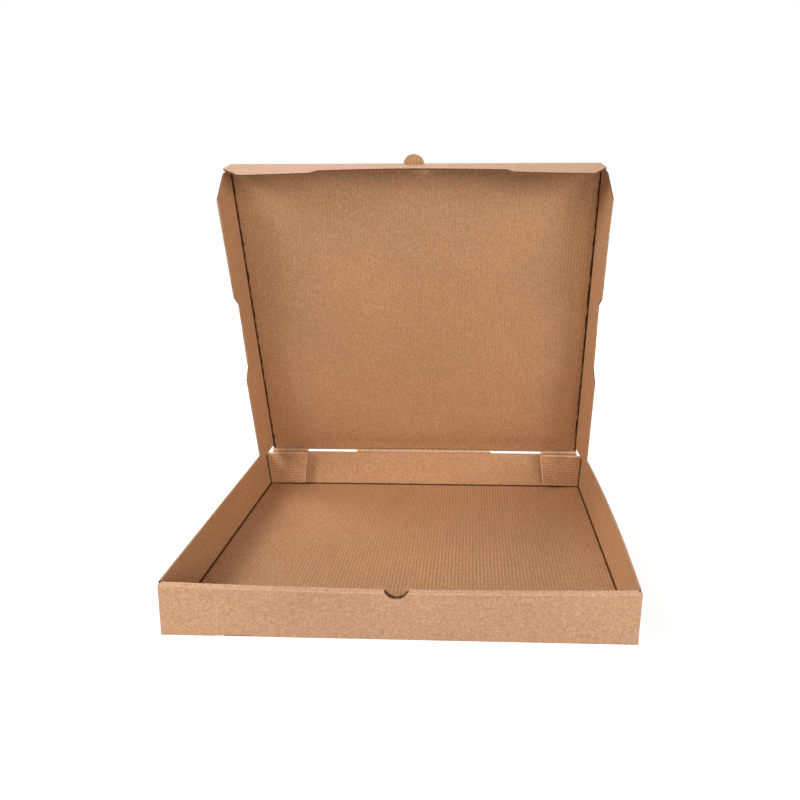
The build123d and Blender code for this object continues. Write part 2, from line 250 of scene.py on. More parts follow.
def kraft(name, colour, fleck, lines=1.0, sheen=0.25, relief=1.0, grain=1.0, marks=()):
    """Kraft paper: slow clouds, mottle, grain, fibres, dark and pale flecks, and the washboard of the flutes,
    darker in its valleys as painted shade and glue lines.
    marks are spots painted dark or pale, each a place, a size and a number below 0 for dark or above 0 for
    pale; a dent is painted as shade beside a lit lip."""
    s = Shader(name)
    place, board_map = s.coord.outputs["Object"], s.coord.outputs["UV"]
    cloud = s.noise(place, 9.0, 3.0)
    mottle = s.noise(place, 210.0, 4.0, 0.6)
    fibre = s.noise(board_map, (380.0, 1500.0, 1.0), 3.0, 0.6)
    pulp = s.noise(board_map, (560.0, 620.0, 1.0), 2.0, 0.5, 7.7)
    tint = s.noise(board_map, (330.0, 290.0, 1.0), 2.0, 0.5, 12.1)
    dark = s.noise(board_map, (430.0, 390.0, 1.0), 1.0, 0.5, 3.3)
    pale = s.noise(board_map, (310.0, 420.0, 1.0), 1.0, 0.5, 9.4)
    across = s.tree.nodes.new("ShaderNodeSeparateXYZ")
    s.put(across.inputs[0], board_map)
    wobble = s.span(s.noise(board_map, (60.0, 22.0, 1.0), 2.0, 0.5, 1.1), 0.0, 1.0, -0.9, 0.9)
    phase = s.math("MULTIPLY", across.outputs[0], 2000 * math.pi / PITCH)
    wave = s.math("COSINE", s.math("ADD", phase, wobble))
    slow = s.span(s.noise(board_map, (14.0, 9.0, 1.0), 2.0, 0.5, 5.0), 0.35, 0.65, 0.6, 1.3)
    dash = s.span(s.noise(board_map, (290.0, 120.0, 1.0), 2.0, 0.5, 6.0), 0.35, 0.65, 0.45, 1.55)
    ridge = s.math("MULTIPLY", wave, s.math("MULTIPLY", slow, dash))
    deep, light = (
        tuple(c * (1 + way * grain * k) for c, k in zip(colour, (0.15, 0.19, 0.25))) for way in (-1, 1))
    col = s.mix(s.span(pulp, 0.3, 0.7, 0.0, 1.0), deep, light)
    for noise, amount in ((tint, 0.03), (cloud, 0.05), (mottle, 0.05), (fibre, 0.05)):
        col = s.vary(col, noise, amount)
    # The washboard is painted darker in its valleys: partly painted shade of its relief, partly darker glue
    # lines
    col = s.shade(col, s.span(ridge, -1.0, 1.0, 1 + 0.035 * lines, 1 - 0.035 * lines))
    col = s.mix(s.span(dark, 0.72, 0.78, 0.0, 0.75), col, fleck)
    col = s.mix(s.span(pale, 0.73, 0.80, 0.0, 0.4), col, scaled(colour, 1.35))
    # Marks: the painted shade and highlight of a dent, or a pale scuff
    for centre, size, amount in marks:
        paint = fleck if amount < 0 else scaled(colour, 1.5)
        col = s.mix(s.math("MULTIPLY", s.spot(place, centre, size), abs(amount)), col, paint)
    s.put(s.bsdf.inputs["Base Color"], col)
    s.put(s.bsdf.inputs["Roughness"], s.span(mottle, 0.3, 0.7, 0.62, 0.78))
    s.bsdf.inputs["Specular IOR Level"].default_value = sheen
    height = s.math("MULTIPLY", ridge, -0.00004 * min(lines, 1.4))
    for noise, amount in ((fibre, 0.000012), (mottle, 0.00005), (pulp, 0.00003), (cloud, 0.0009)):
        height = s.math("MULTIPLY_ADD", noise, amount * relief, height)
    bump = s.node("ShaderNodeBump", Strength=1.0, Distance=1.0, Height=height)
    s.put(s.bsdf.inputs["Normal"], bump.outputs[0])
    return s.mat


def lid_point(u, v):
    """A point of the lid's inner face, u across it and v away from the rear hinge."""
    return HINGE + X * u + ALONG * v + INWARD * H


# Two small dents on the inside of the lid, each painted as a dark line of shade beside a pale highlight on
# its lip, and a curved pale scuff
LID_MARKS = [
    (lid_point(79.0, 167.4), (7.0, 1.1, 1.4), -0.8),
    (lid_point(75.5, 165.2), (2.6, 1.0, 1.2), 1.0),
    (lid_point(18.0, 171.3), (3.2, 0.9, 1.0), -0.6),
    (lid_point(19.0, 169.6), (2.6, 0.9, 1.0), 0.5),
    (lid_point(-44.5, 227.5), (2.2, 1.2, 1.4), 0.7),
    (lid_point(-24.0, 227.8), (1.8, 1.2, 1.6), 0.8),
    (lid_point(-21.5, 231.0), (1.6, 1.4, 2.6), 0.5),
    (lid_point(-49.0, 232.0), (4.0, 1.2, 1.0), 0.4),
]
# The faint pale line on the front wall over the end of the left corner tab
WALL_MARKS = [((TAB_MARK, -183.0, 21.0), (0.9, 8.0, 21.0), 0.3)]
BOARD_FLECK = (0.31, 0.155, 0.08)
MATS = [
    kraft("kraft_inside", (0.525, 0.288, 0.146), BOARD_FLECK, lines=1.5, marks=LID_MARKS),
    kraft("kraft_outside", (0.575, 0.325, 0.188), (0.38, 0.20, 0.11), lines=0.15, sheen=0.5,
          marks=WALL_MARKS),
    kraft("kraft_cut", (0.48, 0.27, 0.15), (0.28, 0.14, 0.07), lines=0.0, sheen=0.2),
    # Painted shade: a near-black kraft for the grooves of creases, and for hollows and gaps that lie in shade
    kraft("kraft_crease_shade", (0.11, 0.05, 0.022), (0.08, 0.04, 0.02), lines=0.0, sheen=0.1),
    kraft("kraft_medium", (0.30, 0.15, 0.07), (0.20, 0.10, 0.05), lines=0.0, sheen=0.1),
    # The floor and the corner flaps take the inside colour a little darker, the side walls darker still:
    # painted shade
    kraft("kraft_floor", (0.51, 0.28, 0.142), BOARD_FLECK, lines=4.2, grain=1.2),
    kraft("kraft_side", (0.49, 0.268, 0.134), BOARD_FLECK, lines=3.8),
    # Pale kraft: partly wear of cut edges and folds, partly painted highlight where light catches edges, the
    # band and the hinge
    kraft("kraft_wear_and_highlight", (0.70, 0.425, 0.265), (0.46, 0.26, 0.14), lines=0.0, grain=1.4, sheen=0.2),
]
INSIDE, OUTSIDE, CUT, CREASE_SHADE, MEDIUM, FLOOR, SIDE, WEAR_AND_HIGHLIGHT = range(8)


class Piece:
    """One mesh of folded board, gathered in millimetres. Faces share points only within one surface."""

    def __init__(self):
        self.co, self.faces, self.uv, self.mat, self.smooth = [], [], [], [], []
        self.known = {}

    def surface(self):
        self.known = {}

    def face(self, points, uvs, mat, smooth=False):
        ring = []
        for point in points:
            key = tuple(round(c, 4) for c in point) if smooth else None
            if key is None or key not in self.known:
                self.co.append(tuple(point))
                at = len(self.co) - 1
                if key is not None:
                    self.known[key] = at
            else:
                at = self.known[key]
            ring.append(at)
        if len(set(ring)) < len(ring):
            return
        self.faces.append(ring)
        self.uv += uvs
        self.mat.append(mat)
        self.smooth.append(smooth)

    def strip(self, sections, mat, at, smooth=True, across=None):
        """A surface through sections, each a list of points. at gives each section's place along the flutes,
        or across them where across is given, which is then the first point's place along them."""
        self.surface()
        for i in range(len(sections) - 1):
            a, b = sections[i], sections[i + 1]
            run = 0.0
            for j in range(len(a) - 1):
                step = (a[j + 1] - a[j]).length
                if across is None:
                    uvs = [(run, at[i]), (run, at[i + 1]), (run + step, at[i + 1]), (run + step, at[i])]
                else:
                    v = across + run
                    uvs = [(at[i], v), (at[i + 1], v), (at[i + 1], v + step), (at[i], v + step)]
                self.face([a[j], b[j], b[j + 1], a[j + 1]], uvs, mat, smooth)
                run += step

    def cap(self, outer, inner):
        """The cut end of a fold, between its outer and inner lines."""
        points = list(outer) + list(reversed(inner))
        self.face(points, [(0.3 * i, 0) for i in range(len(points))], CUT)

    def cap_ends(self, outer_lines, inner_lines):
        """Both cut ends of a fold. The overlaps of its dark line onto the board are left out."""
        for i in (0, -1):
            self.cap(outer_lines[i], inner_lines[i][1:-1])

    def build(self, name, body, *nodes):
        mesh = bpy.data.meshes.new(name)
        mesh.from_pydata([(x * 0.001, y * 0.001, z * 0.001) for x, y, z in self.co], [], self.faces)
        for mat in MATS:
            mesh.materials.append(mat)
        layer = mesh.uv_layers.new(name="board")
        layer.data.foreach_set("uv", [c * 0.001 for pair in self.uv for c in pair])
        mesh.polygons.foreach_set("material_index", self.mat)
        mesh.polygons.foreach_set("use_smooth", self.smooth)
        mesh.update()
        obj = bpy.data.objects.new(name, mesh)
        scene.collection.objects.link(obj)
        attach(obj, body)
        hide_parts(*nodes)


def spans(outline, u):
    """Where the line at u lies inside the outline, as pairs of v."""
    hits = []
    for (u0, v0), (u1, v1) in zip(outline, outline[1:] + outline[:1]):
        if (u0 <= u < u1) or (u1 <= u < u0):
            hits.append(v0 + (v1 - v0) * (u - u0) / (u1 - u0))
    hits.sort()
    return list(zip(hits[::2], hits[1::2]))


def cut_cells(outline, du, dv, at_u, at_v):
    """The outline as a flat mesh, cut by lines every du and dv and at the given u and v."""
    bm = bmesh.new()
    bm.faces.new([bm.verts.new((u, v, 0)) for u, v in outline])
    for index, step in ((0, du), (1, dv)):
        low, high = min(p[index] for p in outline), max(p[index] for p in outline)
        normal = Vector((1 - index, index, 0))
        cuts = steps(low, high, step)[1:-1] if step else []
        for at in cuts + list(at_v if index else at_u):
            geom = bm.verts[:] + bm.edges[:] + bm.faces[:]
            bmesh.ops.bisect_plane(bm, geom=geom, dist=1e-5, plane_co=normal * at, plane_no=normal)
    bm.normal_update()
    return bm


def add_liners(piece, place, cells, front, back, shift, cut):
    """The two liners of a panel and their cut edges. An edge along the flutes is pressed closed."""
    for sign, mat in ((1, front), (-1, back)):
        piece.surface()
        face_w, back_w = sign * H, sign * (H - LINER)
        for f in cells.faces:
            pts = [(v.co.x, v.co.y) for v in f.verts]
            if (f.normal.z < 0) == (sign > 0):
                pts.reverse()
            piece.face([place(u, v, face_w) for u, v in pts], [(u + shift, v) for u, v in pts], mat, True)
        for e in cells.edges:
            if len(e.link_faces) == 1:
                a, b = ((v.co.x, v.co.y) for v in e.verts)
                pressed = abs(b[0] - a[0]) < 0.1 * abs(b[1] - a[1])
                if pressed and sign < 0:
                    continue
                deep = -H if pressed else back_w
                ring = [(*a, face_w), (*b, face_w), (*b, deep), (*a, deep)]
                piece.face([place(*c) for c in ring], [(u + shift, v) for u, v, w in ring], cut)
    piece.surface()


def add_flutes(piece, place, outline, dv, shift, is_open):
    """The wavy sheet between the liners, for a short way in from each edge that shows it."""
    low, high = min(p[0] for p in outline), max(p[0] for p in outline)
    amp = H - LINER - 0.08

    def flute(u):
        return amp * math.cos(2 * math.pi * (u + shift) / PITCH)

    def by_a_side(u, a, b):
        """Whether an edge that runs along the flutes is close to u between a and b."""
        return any(
            not any(s <= a + 1 and e >= b - 1 for s, e in spans(outline, u + way)) for way in (-PITCH, PITCH))

    for i in range(math.ceil(low / PITCH * PER_FLUTE), math.floor(high / PITCH * PER_FLUTE)):
        u0, u1 = i * PITCH / PER_FLUTE, (i + 1) * PITCH / PER_FLUTE
        s0, s1 = spans(outline, u0 + 1e-4), spans(outline, u1 - 1e-4)
        if len(s0) != len(s1):
            continue
        for (a0, b0), (a1, b1) in zip(s0, s1):
            ends = [is_open is None or is_open(u0, v) for v in (a0, b0)]
            parts = []
            if by_a_side(u0, max(a0, a1), min(b0, b1)):
                cuts = steps(0, 1, min(1, dv / (b0 - a0)) if dv else 1)
                for s, e in zip(cuts, cuts[1:]):
                    parts.append(((a0 + (b0 - a0) * s, a1 + (b1 - a1) * s),
                                  (a0 + (b0 - a0) * e, a1 + (b1 - a1) * e)))
            else:
                deep = min(FLUTE_DEPTH, (b0 - a0) / 2)
                if ends[0]:
                    parts.append(((a0, a1), (a0 + deep, a1 + deep)))
                if ends[1]:
                    parts.append(((b0 - deep, b1 - deep), (b0, b1)))
            w0, w1 = flute(u0), flute(u1)
            for (p0, p1), (q0, q1) in parts:
                for dw in (MEDIUM_HALF, -MEDIUM_HALF):
                    ring = [(u0, p0, w0 + dw), (u1, p1, w1 + dw), (u1, q1, w1 + dw), (u0, q0, w0 + dw)]
                    piece.face([place(*c) for c in ring], [(u + shift, v) for u, v, w in ring], MEDIUM, True)
            for (v0, v1), show in zip(((a0, a1), (b0, b1)), ends):
                if show:
                    ring = [(u0, v0, w0 + MEDIUM_HALF), (u1, v1, w1 + MEDIUM_HALF),
                            (u1, v1, w1 - MEDIUM_HALF), (u0, v0, w0 - MEDIUM_HALF)]
                    piece.face([place(*c) for c in ring], [(u + shift, v) for u, v, w in ring], CUT)


def board(piece, place, outline, du=0, dv=0, front=INSIDE, back=OUTSIDE, shift=0.0, is_open=None,
          at_u=(), at_v=(), cut=CUT):
    """A panel of corrugated board. place(u, v, w) gives a point: u across the flutes, v along them and w
    through the board, +H at its front liner. The flutes show where the outline cuts them and is_open."""
    cells = cut_cells(outline, du, dv, at_u, at_v)
    add_liners(piece, place, cells, front, back, shift, cut)
    cells.free()
    add_flutes(piece, place, outline, dv, shift, is_open)


def arc(centre, x_dir, y_dir, radius, start, end, n=6):
    """Points of an arc from start to end, in degrees."""
    turns = [math.radians(start + (end - start) * i / n) for i in range(n + 1)]
    return [centre + x_dir * (radius * math.cos(t)) + y_dir * (radius * math.sin(t)) for t in turns]


def circle_part(radius, centre_v, start, end, n):
    """Points (u, v) of a circle round (0, centre_v) from start to end, in radians."""
    turns = [start + (end - start) * i / n for i in range(n + 1)]
    return [(radius * math.cos(t), centre_v + radius * math.sin(t)) for t in turns]


def mirrored(half_outline, middle=()):
    """A half outline, the points of its middle, and its mirror image from its last point to its first."""
    return half_outline + list(middle) + [(-u, v) for u, v in reversed(half_outline)]


def lit_edge_highlight(piece, place, points, wide=1.3):
    """A pale border along an edge of the front liner, rounded off at the cut: a painted highlight where light
    catches the edge.
    """
    lines = []
    for i, (u, v) in enumerate(points):
        before, after = points[max(0, i - 1)], points[min(len(points) - 1, i + 1)]
        along = Vector((after[0] - before[0], after[1] - before[1])).normalized()
        lines.append([
            place(u, v, H - 0.15), place(u + along.y * wide * 0.4, v - along.x * wide * 0.4, H + 0.05),
            place(u + along.y * wide, v - along.x * wide, H + 0.02)])
    piece.strip(lines, WEAR_AND_HIGHLIGHT, list(range(len(lines))))


def closed(u, v):
    return False


def lap(at, seed, wide=0.25):
    """How far the dark line of a crease, which is painted shade, reaches over the board beside it."""
    return wide * (1 + jitter(at, seed))


tray = Piece()


def floor_place(u, v, w):
    return Vector((u, v, H + w))


def add_floor():
    """The floor, with a slot for each locking tab of the rolled front wall."""
    slot_low, slot_high = LOCK_Y - H - LOCK_PLAY, LOCK_Y + H + LOCK_PLAY
    near_x, far_x = LOCK_X - LOCK_HALF - LOCK_PLAY, LOCK_X + LOCK_HALF + LOCK_PLAY
    beside = ((-EDGE, -far_x), (-near_x, near_x), (far_x, EDGE))
    at_slot = ((-far_x, -near_x), (near_x, far_x))
    pieces = [(-EDGE, EDGE, slot_high, EDGE)]
    pieces += [(low, high, -WALL, slot_high) for low, high in beside]
    pieces += [(low, high, -WALL, slot_low) for low, high in at_slot]
    for x0, x1, y0, y1 in pieces:
        # The floor's darker copy of the inside colour is painted shade
        board(tray, floor_place, [(x0, y0), (x1, y0), (x1, y1), (x0, y1)], front=FLOOR, is_open=closed)
    # Dark patches that close the bottom rear corners: painted shade
    for side in (-1, 1):
        a, b = Vector((side * (EDGE - 0.4), 0, 0.3)), Vector((side * (SIZE - 0.7), 0, 0.3))
        foot, deep, top = Y * (EDGE - 0.4), Y * (SIZE - 1.0), Z * PLUG_TOP
        uvs = [(0, 0), (T, 0), (T, T), (0, T)]
        tray.face([a + foot, b + foot, b + deep, a + deep], uvs, CREASE_SHADE)
        tray.face([a + deep, b + deep, b + deep + top, a + deep + top], uvs, CREASE_SHADE)


def side_frame(side, y):
    """The foot of a side wall's middle line at the depth y, its direction up, and the way inside."""
    tilt = math.atan(splay(side, y) / (SIDE_TOP - T))
    up = Vector((side * math.tan(tilt), 0, 1))
    inner = Vector((-side * math.cos(tilt), 0, math.sin(tilt)))
    return Vector((side * (WALL + H), y, T)), up, inner


def add_side_wall(side):
    """A side wall, which is lower under the band of the front wall, and its fold to the floor."""
    def place(u, v, w):
        foot, up, inner = side_frame(side, v)
        return foot + up * u + inner * w

    rear, top, under_band = WALL - T, SIDE_TOP - T, FRONT_TOP - 2 * T
    outline = [
        (GROOVE, -WALL + T), (under_band, -WALL + T), (under_band, -BAND_BACK), (top, -BAND_BACK),
        (top, WALL), (CORNER_HIGH - T, WALL), (CORNER_HIGH - T, rear), (GROOVE, rear),
    ]
    # Its face takes the side walls' darker copy of the inside colour: painted shade
    board(tray, place, outline, dv=15, front=SIDE, shift=0.7,
          is_open=lambda u, v: v > 0 and u > CORNER_HIGH - T)
    ys = steps(-WALL, rear, 4)
    outer_lines, inner_lines = [], []
    for y in ys:
        foot, up, inner = side_frame(side, y)
        corner = Vector((side * (SIZE - PRESSED), y, PRESSED))
        head = foot + up * GROOVE
        outer_lines.append([
            Vector((side * EDGE, y, 0)), *arc(corner, X * side, Z, PRESSED, -90, 0), head - inner * H])
        inner_lines.append([
            Vector((side * (EDGE - lap(y, side + 2)), y, T + 0.03)), Vector((side * EDGE, y, T)),
            Vector((side * (WALL - 0.35), y, T - 0.75)), Vector((side * (WALL + 0.1), y, T + 0.1)),
            head + inner * H, foot + up * (GROOVE + lap(y, side + 5)) + inner * (H + 0.03)])
    tray.strip(outer_lines, OUTSIDE, ys)
    # The inside of the fold is painted the dark crease colour: painted shade
    tray.strip(inner_lines, CREASE_SHADE, ys)
    tray.cap_ends(outer_lines, inner_lines)


def add_corner_flap(side):
    """The rear corner flap, folded in from the side wall and standing a little off the rear wall."""
    tilt = math.atan(splay(side, WALL) / SIDE_TOP)
    turn = math.radians(CORNER_TURN)
    fold = Vector((side * (WALL + CORNER_GAP), WALL - CORNER_GAP, T))
    fold_axis = Vector((side * math.sin(tilt), 0, math.cos(tilt)))
    level = Vector((-side * math.cos(tilt), 0, math.sin(tilt)))
    flap_dir = level * math.cos(turn) - Y * math.sin(turn)
    flap_in = (flap_dir.cross(fold_axis) * -side).normalized()
    spread, height = fold_axis.x * side, fold_axis.z
    across, climb = -flap_dir.x * side, flap_dir.z

    def on_flap(x, z):
        run = ((WALL + CORNER_GAP - x) * height + (z - T) * spread) / (across * height + climb * spread)
        return (z - T - run * climb) / height, run

    def place(u, v, w):
        sag = CORNER_SAG * math.sin(math.pi * min(1.0, max(0.0, v / CORNER_REACH)))
        return fold + fold_axis * u + flap_dir * v + flap_in * (H + w - sag)

    foot_u, foot_v = on_flap(*CORNER_FOOT)
    head_u, head_v = on_flap(*CORNER_HEAD)
    # Its two free corners are rounded
    outline = [
        (CORNER_LOW - T, CORNER_FOLD), (foot_u - 0.25, foot_v - 3.0), (foot_u + 0.2, foot_v - 1.1),
        (foot_u + 1.1, foot_v - 0.2), (foot_u + 3.0, foot_v), (head_u - 1.6, head_v),
        (head_u - 0.5, head_v - 0.4), (head_u, head_v - 1.5),
        ((CORNER_HIGH - T) / math.cos(tilt), CORNER_FOLD),
    ]
    # Its cut edges and the border along its free edges are painted pale: painted highlight where light
    # catches them
    board(tray, place, outline, dv=6, front=FLOOR, shift=1.9, is_open=lambda u, v: v > 20, cut=WEAR_AND_HIGHLIGHT)
    lit_edge_highlight(tray, place, outline[1:])
    # Its fold at the corner
    zs = steps(CORNER_LOW - T, CORNER_HIGH - T, 3)
    outer_lines, inner_lines = [], []
    for z in zs:
        foot, up, inner = side_frame(side, WALL - T)
        pivot = foot + up * z + inner * H
        outer_lines.append([*arc(pivot, -inner, Y, T, 0, 80), place(z, CORNER_FOLD, -H)])
        inner_lines.append([
            pivot - Y * (0.05 + lap(z, side + 9)) + inner * 0.03, pivot, pivot - inner * 0.5 + Y * 0.45,
            place(z, CORNER_FOLD, H), place(z, CORNER_FOLD + 0.1 + lap(z, side + 12), H + 0.03)])
    # Its fold at the corner, whose inside is painted the dark crease colour: painted shade
    tray.strip(outer_lines, OUTSIDE, zs, across=0)
    tray.strip(inner_lines, CREASE_SHADE, zs, across=0)
    tray.cap_ends(outer_lines, inner_lines)


def add_corner_tab(side):
    """The tab at the front end of a side wall, folded in between the two layers of the front wall."""
    start = 1.2

    def place(u, v, w):
        x = side * (WALL + 0.6 - v)
        foot_y = -WALL + CAVITY / 2
        head_y = front_y(x) + BAND / 2
        return Vector((x, foot_y + (head_y - foot_y) * u / (FRONT_TOP - T) + w, T + u))

    low, high = 1.0, 36.0
    outline = [
        (low, start), (high, start), (high, 38.0), (high - 4.0, TAB_LENGTH), (low + 4.0, TAB_LENGTH),
        (low, 38.0),
    ]
    board(tray, place, outline, dv=8, is_open=closed)
    zs = steps(low, high + 1.0, 6)
    outer_lines = []
    for z in zs:
        foot, up, inner = side_frame(side, -WALL + T)
        outer_lines.append([*arc(foot + up * z + inner * H, -inner, -Y, T, 0, 80), place(z, start, -H)])
    tray.strip(outer_lines, OUTSIDE, zs, across=0)


def rear_place(u, v, w):
    return Vector((u, WALL, T)) + UP * v + OUT * (H - w)


def add_rear_wall():
    """The rear wall, cut at both ends and under the two slots, and its fold to the floor."""
    slot_v = (SLOT_FLOOR - T) / math.cos(LEAN)
    end_v = (END_FLOOR - T) / math.cos(LEAN)
    outline = mirrored([
        (REAR_END, GROOVE), (REAR_END, end_v), (SLOT_SIDE, slot_v), (SLOT_SIDE, REAR_RISE),
        (SLOT_OUT, REAR_RISE), (SLOT_OUT, slot_v), (SLOT_IN + SLOT_POINT, slot_v),
        (SLOT_IN, slot_v + SLOT_POINT), (SLOT_IN, REAR_RISE),
    ])
    board(tray, rear_place, outline, is_open=lambda u, v: 20 < v < REAR_RISE - 0.1)
    xs = steps(-REAR_END, REAR_END, 4)
    outer_lines, inner_lines = [], []
    for x in xs:
        corner = Vector((x, SIZE - PRESSED, PRESSED))
        outer_lines.append([
            Vector((x, EDGE, 0)), *arc(corner, Y, Z, PRESSED, -90, 0), rear_place(x, GROOVE, -H)])
        inner_lines.append([
            Vector((x, EDGE - lap(x, 21), T + 0.03)), Vector((x, EDGE, T)),
            Vector((x, WALL - 0.35, T - 0.75)), Vector((x, WALL + 0.1, T + 0.1)), rear_place(x, GROOVE, H),
            rear_place(x, GROOVE + lap(x, 24), H + 0.03)])
    tray.strip(outer_lines, OUTSIDE, xs, across=EDGE)
    # The inside of the fold is painted the dark crease colour: painted shade
    tray.strip(inner_lines, CREASE_SHADE, xs, across=EDGE)
    tray.cap_ends(outer_lines, inner_lines)
    # The rounded fold that the lid turns on, with a swelling of the board under it painted pale: a painted
    # highlight where light from above falls on it
    for low, high in ((-SLOT_SIDE, -SLOT_OUT), (-SLOT_IN, SLOT_IN), (SLOT_OUT, SLOT_SIDE)):
        xs = steps(low, high, 4)
        swelling = HINGE - OUT * BEAD_IN - UP * BEAD_DROP
        tray.strip([arc(swelling + X * x, OUT, UP, BEAD, 60, 210, 10) for x in xs], WEAR_AND_HIGHLIGHT, xs, across=0)
        lines = [arc(HINGE + X * x, OUT, UP, H, 0, 180, 10) for x in xs]
        tray.strip(lines, INSIDE, xs, across=0)
        for end in (lines[0], lines[-1]):
            tray.cap(end[:5], end[5:][::-1])


def leaning(foot, head, v, w):
    """The point at the height v of a layer that leans from foot to head, and w through its board."""
    climb = (head - foot) / (head.z - foot.z)
    return foot + climb * (v - T) + Vector((0, climb.z, -climb.y)).normalized() * w


def outer_place(u, v, w):
    """Outer layer of the front wall, which widens upwards. v is the height above the ground."""
    ridge = MARK_RIDGE * math.exp(-((u - TAB_MARK) / MARK_WIDTH) ** 2)
    w -= ridge if w < 0 else 0
    low, high = FRONT_ENDS[1 if u > 0 else -1]
    u *= (low + (high - low) * (v - T) / (FRONT_TOP - T)) / SIZE
    return leaning(Vector((u, -SIZE + H, T)), Vector((u, front_y(u) + H, FRONT_TOP - H)), v, w)


def inner_place(u, v, w):
    """Inner layer of the front wall, whose front liner faces into the box."""
    foot = Vector((u, -WALL + CAVITY + H, T))
    return leaning(foot, Vector((u, front_y(u) + BAND - H, FRONT_TOP - H)), v, w)


def band_place(u, v, w):
    """Band along the top of the front wall. v is the distance from the outer face."""
    return Vector((u, front_y(u) + v, FRONT_TOP - H + w))


def near_hole(u, v):
    return v > 20 and abs(u) < 9


def layer_outline(end, top):
    """The outline of one layer of the front wall, with the round hole in its top edge."""
    centre = FRONT_TOP + BAND / 2
    half_angle = math.acos((centre - top) / THUMB)
    notch = circle_part(THUMB, centre, half_angle - math.pi / 2, -half_angle - math.pi / 2, 14)
    return [(-end, T), (end, T), (end, top)] + notch + [(-end, top)]


def add_band_fold(side, v_side, roll, end):
    """One rounded fold of the band, on its outer side where v_side is -1 and on its inner side where it is 1.
    It starts at the rim of the thumb hole, where x is None."""
    lines, inside = [], []
    xs = [None] + [x for x in steps(0, end, 9) if x > THUMB + 1]
    for x in xs:
        line = []
        for t in range(0, 91, 15):
            a, b = math.cos(math.radians(t)), math.sin(math.radians(t))
            unrolled = BAND / 2 - roll + roll * a + roll * (1 - b)
            u = side * (math.sqrt(THUMB ** 2 - unrolled ** 2) if x is None else x)
            lean = outer_place(u, FRONT_TOP - roll, -H).y - front_y(u) if v_side < 0 else 0.0
            centre = Vector((u, front_y(u) + (roll if v_side < 0 else BAND - roll), FRONT_TOP - roll))
            line.append(centre + Y * (v_side * roll + lean) * a + Z * roll * b)
            if x is None:
                inside.append(line[-1] - Y * v_side * T * a - Z * T * b)
        lines.append(line)
    tray.strip(lines, OUTSIDE, [side * (THUMB if x is None else x) for x in xs], across=0)
    # The thickness of the board where the hole cuts the fold, painted pale as a highlight on the rim, and the
    # end of the band
    tray.strip([lines[0], inside], WEAR_AND_HIGHLIGHT, [0, T])
    far = side * xs[-1]
    back = front_y(far) + (2 * roll if v_side < 0 else BAND - 2 * roll)
    tray.cap(lines[-1], [Vector((far, back, FRONT_TOP - roll))])


def add_band(side):
    """Half of the band, from the thumb hole to one end."""
    far, trim = FRONT_ENDS[side][1], BAND_TRIM
    low, high = FRONT_ROLL, BAND - BACK_ROLL
    rim = [(side * math.sqrt(THUMB ** 2 - (v - BAND / 2) ** 2), v) for v in steps(low, high, 0.7)]
    end = [(side * trim, high), (side * trim, BAND_CORNER), (side * far, BAND_CORNER), (side * far, low)]
    # Its top face and cut edges are painted pale: partly wear, partly a painted highlight where light from
    # above falls on the band
    board(tray, band_place, end + rim, du=9, front=WEAR_AND_HIGHLIGHT, back=INSIDE, cut=WEAR_AND_HIGHLIGHT,
          is_open=lambda u, v: abs(u) < 20)
    add_band_fold(side, -1, FRONT_ROLL, far)
    add_band_fold(side, 1, BACK_ROLL, trim)


def add_front_wall():
    """The rolled front wall: two layers, the band, the fold to the floor and the locking tabs."""
    mark_cuts = [TAB_MARK + d for d in (-2, -1, 0, 1, 2)]
    # The faces of the two layers that look into the cavity between them are painted the dark crease colour:
    # painted shade. Their cut edges are painted pale: partly wear, partly painted highlight.
    outline = layer_outline(SIZE, FRONT_TOP - FRONT_ROLL)
    board(tray, outer_place, outline, du=9, front=CREASE_SHADE, is_open=near_hole, at_u=mark_cuts, cut=WEAR_AND_HIGHLIGHT)
    outline = layer_outline(INNER_END, FRONT_TOP - BACK_ROLL)
    board(tray, inner_place, outline, du=9, front=OUTSIDE, back=CREASE_SHADE, is_open=near_hole, cut=WEAR_AND_HIGHLIGHT)
    for side in (-1, 1):
        add_band(side)
    # Fold between the floor and the front wall. Its edge has lifted off the ground for a stretch.
    xs = steps(-SIZE, SIZE, 6)
    lines, gap = [], []
    for x in xs:
        head = outer_place(x, T, -H)
        lift = LIFT * math.exp(-((x - LIFT_X) / LIFT_HALF) ** 4)
        centre = Vector((head.x, -SIZE + PRESSED, PRESSED + lift))
        lines.append([Vector((head.x, -WALL + 3, lift))] + arc(centre, -Y, Z, PRESSED, -90, 0)[:-1] + [head])
        gap.append([Vector((head.x, -SIZE + 0.7, 0.02)), Vector((head.x, -SIZE + 0.7, lift + 0.1))])
    tray.strip(lines, OUTSIDE, xs, across=0)
    for line in (lines[0], lines[-1]):
        tray.cap(line, [Vector((line[0].x, -WALL, T))])
    # A dark sheet under that stretch: painted shade
    lifted = [i for i, x in enumerate(xs) if LIFT_SHADE[0] < x < LIFT_SHADE[1]]
    tray.strip([gap[i] for i in lifted], CREASE_SHADE, [xs[i] for i in lifted], across=0)
    # Locking tabs, down in the slots of the floor
    for middle in (-LOCK_X, LOCK_X):
        low, high = middle - LOCK_HALF, middle + LOCK_HALF
        outline = [(low, LOCK_PLAY), (high, LOCK_PLAY), (high, T + 1.0), (low, T + 1.0)]
        board(tray, lambda u, v, w: Vector((u, LOCK_Y - w, v)), outline)


def panel_place(u, v, w):
    """The lid's panel: u across, v away from the rear hinge, w inwards. It dips to its four folds."""
    crown = CROWN * rise_from(SIDE_EDGE - abs(u), 11.0) * rise_from(v - CROWN_START, 14.0)
    crown *= rise_from(FAR_EDGE - v, 12.0)
    return HINGE + X * u + ALONG * v + INWARD * (w + crown)


